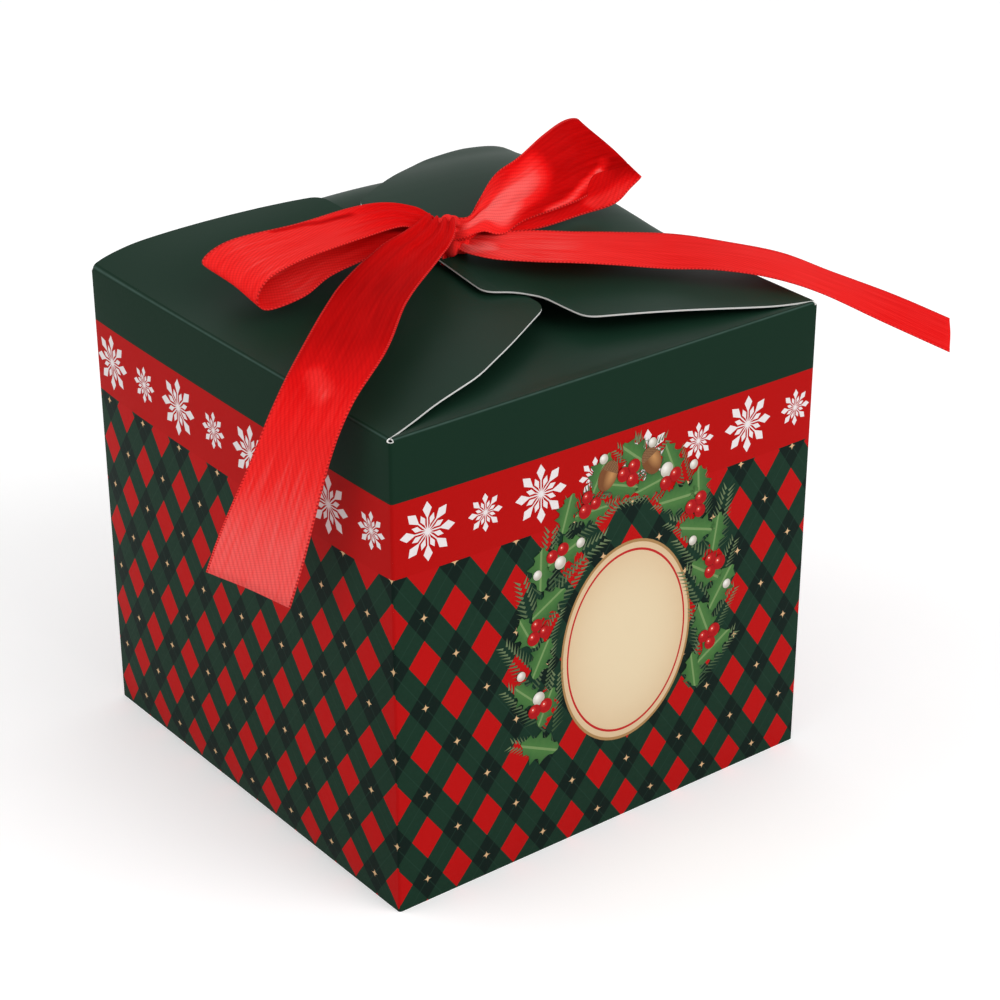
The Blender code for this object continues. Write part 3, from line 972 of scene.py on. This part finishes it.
def piece_of(name, form, *finishes):
    """An object made of the form, under this name and with these finishes."""
    mesh = bpy.data.meshes.new(name)
    form.to_mesh(mesh)
    form.free()
    return add_piece(mesh, *finishes)


def hinge_of(petal):
    """The petal's turn about the upright axis, and the middle of its crease."""
    turn = PETAL_TURNS[petal] * math.pi / 2
    return turn, Vector((-SIDE / 2 * math.cos(turn), -SIDE / 2 * math.sin(turn), WALL_HEIGHT))


def card_piece(name, form, petal, finish):
    """An object of the sheet in its place, green above and white below and at its edges."""
    bmesh.ops.recalc_face_normals(form, faces=form.faces)
    if sum(face.normal.z for face in form.faces) < 0:
        bmesh.ops.reverse_faces(form, faces=form.faces)
    turn, hinge = hinge_of(petal)
    place = Matrix.Translation(hinge) @ Matrix.Rotation(turn, 4, "Z")
    bmesh.ops.transform(form, matrix=place, verts=form.verts)
    card = piece_of(name, form, finish, BOARD)
    card.data.shade_smooth()
    thicken(card, CARD, -1, 1)
    bpy.ops.object.shade_smooth_by_angle(angle=CARD_BEND)
    return card


def make_petal(petal):
    form = petal_form(petal)
    strip = crease_form(petal, form)
    leaf = card_piece(f"{petal}_petal_card", form, petal, PLAIN_GREEN)
    belongs(leaf, f"{petal}_petal", "green_card", f"petal_{petal}")
    crease = card_piece(f"{petal}_crease", strip, petal, FOLD_WEAR_AND_HIGHLIGHT)
    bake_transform(crease)
    return leaf, crease


for petal in PETAL_TURNS:
    leaf, crease = make_petal(petal)
    print(petal, "petal:", len(leaf.data.polygons), "faces, crease:", len(crease.data.polygons))

# %% [markdown]
# The ribbon is a satin strip 25 mm wide. Each loop and tail is drawn as a row of
# stations along its middle, with the direction across it at every station. A smooth
# curve runs through them, and the strip gathers into pleats where it enters the knot.
# A station's place is in thousandths of the box's side. Its direction and its share
# of the full width are in hundredths.

# %% Ribbon stations
RIBBON_WIDTH = 25 * MM
KNOT_LENGTH = 13 * MM
KNOT_DEPTH = 13 * MM
KNOT_HEIGHT = 9 * MM
KNOT_OFFSET = 4 * MM
CLEARANCE = 0.3 * MM
STATION_UNITS = (1000, 1000, 1000, 100, 100, 100, 100)
RIBBONS = {
    "left_tail": (-1, (
        (45, 60, 108, -65, 76, 0, 30), (14, 19, 126, -45, 89, 2, 38), (-26, -17, 124, -29, 96, 0, 56),
        (-67, -37, 117, -35, 93, 0, 68), (-111, -52, 109, -45, 89, -2, 78),
        (-259, -141, 92, -33, 93, -14, 100), (-408, -263, 65, -52, 84, -14, 100),
        (-532, -342, 18, -36, 91, -21, 100), (-581, -318, -117, -48, 85, -20, 100),
        (-617, -244, -352, -57, 77, 31, 100),
    )),
    "right_tail": (1, (
        (-48, 10, 87, 70, 65, 25, 30), (-37, -25, 85, 75, 66, 12, 50), (-10, -65, 85, 65, 76, 9, 69),
        (42, -99, 82, 64, 77, 7, 82), (91, -140, 81, 67, 74, -1, 100), (188, -177, 66, 64, 77, 1, 100),
        (293, -226, 50, 71, 70, 4, 100), (368, -292, 43, 76, 65, -4, 100),
        (447, -360, 26, 78, 62, -8, 100), (514, -431, -3, 77, 62, -12, 100),
        (598, -520, -49, 79, 61, -6, 100), (685, -606, -100, 72, 69, 0, 100),
    )),
    "left_loop": (-1, (
        (15, 36, 105, 45, 87, 18, 40), (-8, 75, 116, 51, 85, 10, 60), (-60, 105, 123, 20, 97, 10, 68),
        (-233, 77, 132, 30, 95, -3, 100), (-367, 87, 119, 7, 99, 8, 100), (-410, 99, 83, -9, 98, 16, 100),
        (-388, 90, 62, 0, 99, 17, 100), (-318, 80, 73, -4, 99, 16, 100), (-234, 102, 88, 0, 99, 14, 100),
        (-121, 95, 97, 10, 99, 10, 92), (-55, 62, 99, 12, 98, 15, 74), (10, 25, 92, 10, 98, 19, 40),
    )),
    "right_loop": (1, (
        (-66, 5, 110, 52, 83, 22, 50), (-45, -25, 119, 61, 75, 24, 40), (-3, -13, 128, 50, 78, 38, 53),
        (37, -8, 134, 30, 65, 70, 70), (98, -2, 149, -5, 15, 98, 74), (217, 24, 161, -21, 40, 89, 88),
        (305, 58, 160, -30, 44, 85, 95), (365, 45, 167, -40, 69, 60, 100),
        (348, 50, 142, -23, 82, 53, 100), (300, 40, 121, -23, 82, 52, 97), (229, 42, 110, -30, 73, 62, 84),
        (115, 24, 104, -14, 78, 61, 68), (15, 11, 103, 50, 80, 35, 40), (-32, -16, 100, 61, 75, 24, 30),
        (-54, 12, 98, 53, 84, 14, 50),
    )),
}

# %% [markdown]
# Satin shines along its threads and shows fine slanting ribs, and this ribbon has a
# dotted selvedge down both edges. The finish reads the strip's own UV map, in
# millimetres across and along, so the weave follows every bend. Satin is also darker
# where its threads turn from the light and paler where they face it, which a plain
# shader misses. So this light and shade is painted into the colour: every strip
# carries painted shading for each part of its length, with painted highlights and
# painted shade along its small creases.

# %% Satin finish
TWILL_PITCH = 1.2
WEFT_PITCH = 0.75
SLANT = (0.905, 0.425)
PICOT_PITCH = 1.1
SELVEDGE = 0.6
# Satin reds for the painted shading: painted shade at 0 up to a pink painted highlight at 1.
SATIN_SHADE_TO_HIGHLIGHT = (
    (0, (0.38, 0.0020, 0.0020)),
    (0.45, (0.80, 0.0070, 0.0070)),
    (0.75, (0.97, 0.0300, 0.0270)),
    (1, (1, 0.1300, 0.1200)),
)
RIB_RED = (0.40, 0.003, 0.004)
WEFT_RED = (0.36, 0.003, 0.004)
SELVEDGE_RED = (0.88, 0.045, 0.040)
DOT_RED = (0.38, 0.004, 0.005)
# Painted light and shade along each strip, by share of its length: 0 is painted shade and 1 is painted
# highlight.
PAINTED_SHADING_ALONG = {
    "left_tail": (
        (0, 0.30), (0.12, 0.22), (0.30, 0.06), (0.48, 0.12), (0.62, 0.50), (0.75, 0.72), (0.9, 0.95),
        (1, 1),
    ),
    "right_tail": ((0, 0.80), (0.2, 0.79), (0.44, 0.60), (0.69, 0.68), (0.89, 0.52), (1, 0.5)),
    "left_loop": (
        (0, 0.35), (0.12, 0.42), (0.25, 0.66), (0.45, 0.76), (0.54, 0.58), (0.62, 0.76), (0.72, 0.72),
        (0.82, 0.5), (1, 0.3),
    ),
    "right_loop": (
        (0, 0.74), (0.1, 0.70), (0.2, 0.40), (0.3, 0.12), (0.5, 0.06), (0.56, 0.30), (0.7, 0.32),
        (1, 0.4),
    ),
}
# Painted highlights and painted shade along the ribbon's creases: each stroke is points as shares of
# length and width, a half width in mm and a change of painted shading.
PAINTED_FOLD_SHADING = {
    "left_tail": ((((0.57, 0.70), (0.62, 0.45)), 4, 0.3),),
    "right_tail": ((((0.02, 0.15), (0.07, 0.35)), 4, 0.25),),
    "left_loop": ((((0.19, 0.80), (0.27, 0.84), (0.31, 0.92), (0.37, 0.94)), 1.7, -0.55),),
    "right_loop": (
        (((0.06, 0.40), (0.14, 0.46)), 5, 0.3),
        (((0.165, 0.40), (0.20, 0.50), (0.245, 0.58)), 9.5, 0.62),
        (((0.27, 0.02), (0.32, 0.05), (0.37, 0.13), (0.42, 0.18), (0.445, 0.22)), 2, 0.75),
        (((0.445, 0.22), (0.466, 0.33)), 1.6, 0.35),
        (((0.625, 0.12), (0.577, 0.08), (0.53, 0.03)), 4, 0.4),
    ),
}

satin = Finish("satin", Specular_IOR_Level=0, Metallic=0.05, Anisotropic=0.4)
satin.wear(Subsurface_Weight=0.3, Subsurface_Radius=(0.9, 0.1, 0.1), Subsurface_Scale=1 * MM)
across, along, _ = satin.place(uv=True)
ribs = across * SLANT[0] + along * SLANT[1]
twill = abs(ribs.from_nearest(TWILL_PITCH)) * (2 / TWILL_PITCH)
threads = along * SLANT[0] - across * SLANT[1]
weft = abs(threads.from_nearest(WEFT_PITCH)) * (2 / WEFT_PITCH)
edge = across.lower_of(RIBBON_WIDTH / MM - across)
dots = (abs(along.from_nearest(PICOT_PITCH)) < PICOT_PITCH / 4) * (edge < SELVEDGE)
streak = satin.noise(1, 2, satin.add("CombineXYZ", sockets={0: across * 0.9, 1: along * 0.05}))
# Painted light and shade: the vertex's painted shading, with random streaks, picks a red from painted
# shade to painted highlight.
tone = satin.add("Attribute", {"attribute_name": "tone"}, output=2)
tone = tone + (streak - 0.5) * 0.35
colour = satin.add("ValToRGB", {"stops": SATIN_SHADE_TO_HIGHLIGHT}, {0: tone})
colour = satin.mix(twill**2 * 0.25, colour, RIB_RED)
colour = satin.mix(weft**2 * 0.14, colour, WEFT_RED)
colour = satin.mix((edge < SELVEDGE) * 0.6, colour, SELVEDGE_RED)
colour = satin.mix(dots * 0.7, colour, DOT_RED)
satin.wear(Base_Color=colour, Roughness=0.32 + twill * 0.12)
satin.bump((1 - twill) * 0.5 + (1 - weft) * 0.2 + streak * 0.3, 0.07 * MM, 0.8)
SATIN = satin.material

# %% Ribbon strips
STRIP_STEPS = 10
STRIP_CELLS = 24
PLEATS = 3.5
PLEAT_DEPTH = 1.1 * MM
CROWN = 0.25 * MM
SATIN_THICKNESS = 0.21 * MM


def strip_form(rows, side):
    """The middle surface of a ribbon end, and how far along it each of its rows lies."""
    root = Vector((KNOT_OFFSET + side * (KNOT_LENGTH / 2 + CLEARANCE), 0, WALL_HEIGHT))
    stations = smooth_through(np.array(rows) / STATION_UNITS, STRIP_STEPS)
    middles = [root + Vector(station[:3]) * SIDE for station in stations]
    ways = [0, *np.cumsum([(b - a).length for a, b in zip(middles, middles[1:])]).tolist()]
    lines = []
    for index, station in enumerate(stations):
        ahead = middles[min(index + 1, len(middles) - 1)] - middles[max(index - 1, 0)]
        across = Vector(station[3:6]).normalized()
        outward = across.cross(ahead).normalized()
        share = min(station[6], 1)
        pleat = (1 - share) * PLEAT_DEPTH
        lines.append([])
        for cell in range(STRIP_CELLS + 1):
            t = cell / STRIP_CELLS
            lift = pleat * math.sin(t * PLEATS * 2 * math.pi) + CROWN * math.cos(t * 2 * math.pi)
            lines[-1].append(middles[index] + across * RIBBON_WIDTH * share * (t - 0.5) + outward * lift)
    return sheet_of(lines, "weave", lambda cell, row: (cell / STRIP_CELLS * RIBBON_WIDTH, ways[row])), ways


def set_painted_shading(mesh, painted_shadings):
    """Writes the painted shading, a painted light or shade value, for every vertex; the satin finish reads
    it.
    """
    layer = mesh.attributes.new("tone", "FLOAT", "POINT")
    for vert, tone in zip(layer.data, painted_shadings):
        vert.value = tone


def painted_shading_of(name, ways):
    """The painted shading at every vertex: painted light and shade along the length, with a painted
    highlight or painted shade along each fold.
    """
    along = np.repeat(ways, STRIP_CELLS + 1)
    across = np.tile(np.linspace(0, RIBBON_WIDTH, STRIP_CELLS + 1), len(ways))
    spots = np.column_stack([along, across])
    tone = np.interp(along / ways[-1], *zip(*PAINTED_SHADING_ALONG[name]))
    for points, half_width, change in PAINTED_FOLD_SHADING[name]:
        route = np.array(points) * (ways[-1], RIBBON_WIDTH)
        away = np.full(len(tone), np.inf)
        for start, end in zip(route, route[1:]):
            step = end - start
            passed = np.clip((spots - start) @ step / (step @ step), 0, 1)
            beside = spots - start - passed[:, None] * step
            away = np.minimum(away, np.hypot(beside[:, 0], beside[:, 1]))
        tone += change * np.clip(1 - (away / (half_width * MM)) ** 2, 0, 1)
    return tone


def make_ribbon(name):
    side, rows = RIBBONS[name]
    form, ways = strip_form(rows, side)
    ribbon = piece_of(f"ribbon_{name}_satin", form, SATIN)
    ribbon.data.shade_smooth()
    set_painted_shading(ribbon.data, painted_shading_of(name, ways))
    thicken(ribbon, SATIN_THICKNESS)
    way, part = name.split("_")
    return belongs(ribbon, "bow", "satin_ribbon", f"ribbon_{part}_{way}"), ways[-1]


for name in RIBBONS:
    ribbon, length = make_ribbon(name)
    print(name, "is", round(length / MM), "mm long")

# %% [markdown]
# The knot is the ribbon wrapped tightly round itself. It starts as a cube, whose
# edges are bevelled round, and pleats run round it the way the satin is pulled. It
# leans with the petal that it lies on.

# %% Knot
SATIN_KNOT_SIZE = (9 * MM, 10 * MM, 8.4 * MM)
SATIN_KNOT_PLACE = Vector((2, 1, 0)) * MM
KNOT_LEAN = 0.2
KNOT_ROUNDING = 2.3 * MM
KNOT_SEGMENTS = 4
KNOT_CUTS = 5
KNOT_PLEATS = 3.2
KNOT_PLEAT_DEPTH = 0.35 * MM
# The knot's painted shading: one even level of painted light for all of it.
KNOT_PAINTED_SHADING = 0.72


def knot_underside():
    rises = [petal_rise("right", SIDE / 2, SIDE / 2 + along * KNOT_DEPTH / 2) for along in (-1, 0, 1)]
    return WALL_HEIGHT + max(rises) + CLEARANCE


middle = SATIN_KNOT_PLACE + Vector((0, 0, knot_underside() + SATIN_KNOT_SIZE[2] / 2))
bpy.ops.mesh.primitive_cube_add(size=1, location=middle)
knot = bpy.context.object
knot.name = "ribbon_knot_satin"
knot.scale = SATIN_KNOT_SIZE
settle(knot)
edit_all(knot)
bpy.ops.mesh.bevel(offset=KNOT_ROUNDING, segments=KNOT_SEGMENTS, affect="EDGES")
bpy.ops.mesh.subdivide(number_cuts=KNOT_CUTS)
bpy.ops.object.mode_set(mode="OBJECT")
uv = knot.data.uv_layers.active or knot.data.uv_layers.new(name="weave")
uv.name = "weave"
for vert in knot.data.vertices:
    away = vert.co - middle
    wave = away.x / KNOT_LENGTH * 2 * math.pi * KNOT_PLEATS + away.y / KNOT_DEPTH
    vert.co += away.normalized() * KNOT_PLEAT_DEPTH * math.sin(wave)
    vert.co.z += KNOT_LEAN * (away.y - SATIN_KNOT_SIZE[1] / 2)
for loop in knot.data.loops:
    away = knot.data.vertices[loop.vertex_index].co - middle
    round_way = math.atan2(away.z, away.y) * KNOT_HEIGHT / 2
    uv.data[loop.index].uv = (away.x + KNOT_LENGTH, round_way)
set_painted_shading(knot.data, [KNOT_PAINTED_SHADING] * len(knot.data.vertices))
knot.data.materials.append(SATIN)
knot.data.shade_smooth()
belongs(knot, "bow", "satin_ribbon", "ribbon_knot")
print("knot:", len(knot.data.polygons), "faces")

# %% [markdown]
# Under the knot the ribbon goes down through one slot of the petals, across below
# them and up through the other. It is pleated flat to go through the narrow slots.

# %% Ribbon under the petals
STRAP_THICKNESS = 1.2 * MM
STRAP_WIDTH = 2.4 * MM
STRAP_LEAN = 0.3
STRAP_TOP_SHIFT = 0.8 * MM
STRAP_BEND = 1 * MM
STRAP_PASSES = 9
STRAP_PLY = 0.0875 * MM
# The strap's painted shading: a low level, so it is painted in the darker reds of the ramp.
STRAP_PAINTED_SHADING = 0.3

edge = SLOT_FROM_CENTRE + STRAP_THICKNESS / 2
lowest = min(petal_rise("left", SIDE / 2, SIDE / 2 + side * edge) for side in (-1, 1))
level = WALL_HEIGHT + lowest - CARD - CLEARANCE - STRAP_THICKNESS / 2
path = [Vector((STRAP_TOP_SHIFT, -SLOT_FROM_CENTRE * STRAP_LEAN, knot_underside() - CLEARANCE))]
for step in range(CORNER_STEPS + 1):
    angle = math.pi / 2 * step / CORNER_STEPS
    aside = STRAP_BEND * (1 - math.cos(angle)) - SLOT_FROM_CENTRE
    path.append(Vector((0, aside, level + STRAP_BEND * (1 - math.sin(angle)))))
path += [Vector((point.x, -point.y, point.z)) for point in reversed(path)]
reach = STRAP_THICKNESS / 2 - STRAP_PLY
lines = []
for index, point in enumerate(path):
    ahead = (path[min(index + 1, len(path) - 1)] - path[max(index - 1, 0)]).normalized()
    outward = Vector((1, 0, 0)).cross(ahead)
    lines.append([])
    for fold in range(STRAP_PASSES + 1):
        aside = STRAP_WIDTH / 2 if fold % 2 else -STRAP_WIDTH / 2
        place = point + Vector((STRAP_SHIFT + aside, 0, 0))
        lines[-1].append(place + outward * reach * (2 * fold / STRAP_PASSES - 1))
form = sheet_of(lines, "weave", lambda fold, row: (fold * RIBBON_WIDTH / STRAP_PASSES, row * MM))
strap = piece_of("ribbon_underpass_satin", form, SATIN)
set_painted_shading(strap.data, [STRAP_PAINTED_SHADING] * len(strap.data.vertices))
thicken(strap, STRAP_PLY)
length = sum((b - a).length for a, b in zip(path, path[1:]))
belongs(strap, "bow", "satin_ribbon", "ribbon_underpass")
print("ribbon under the petals:", round(length / MM), "mm")
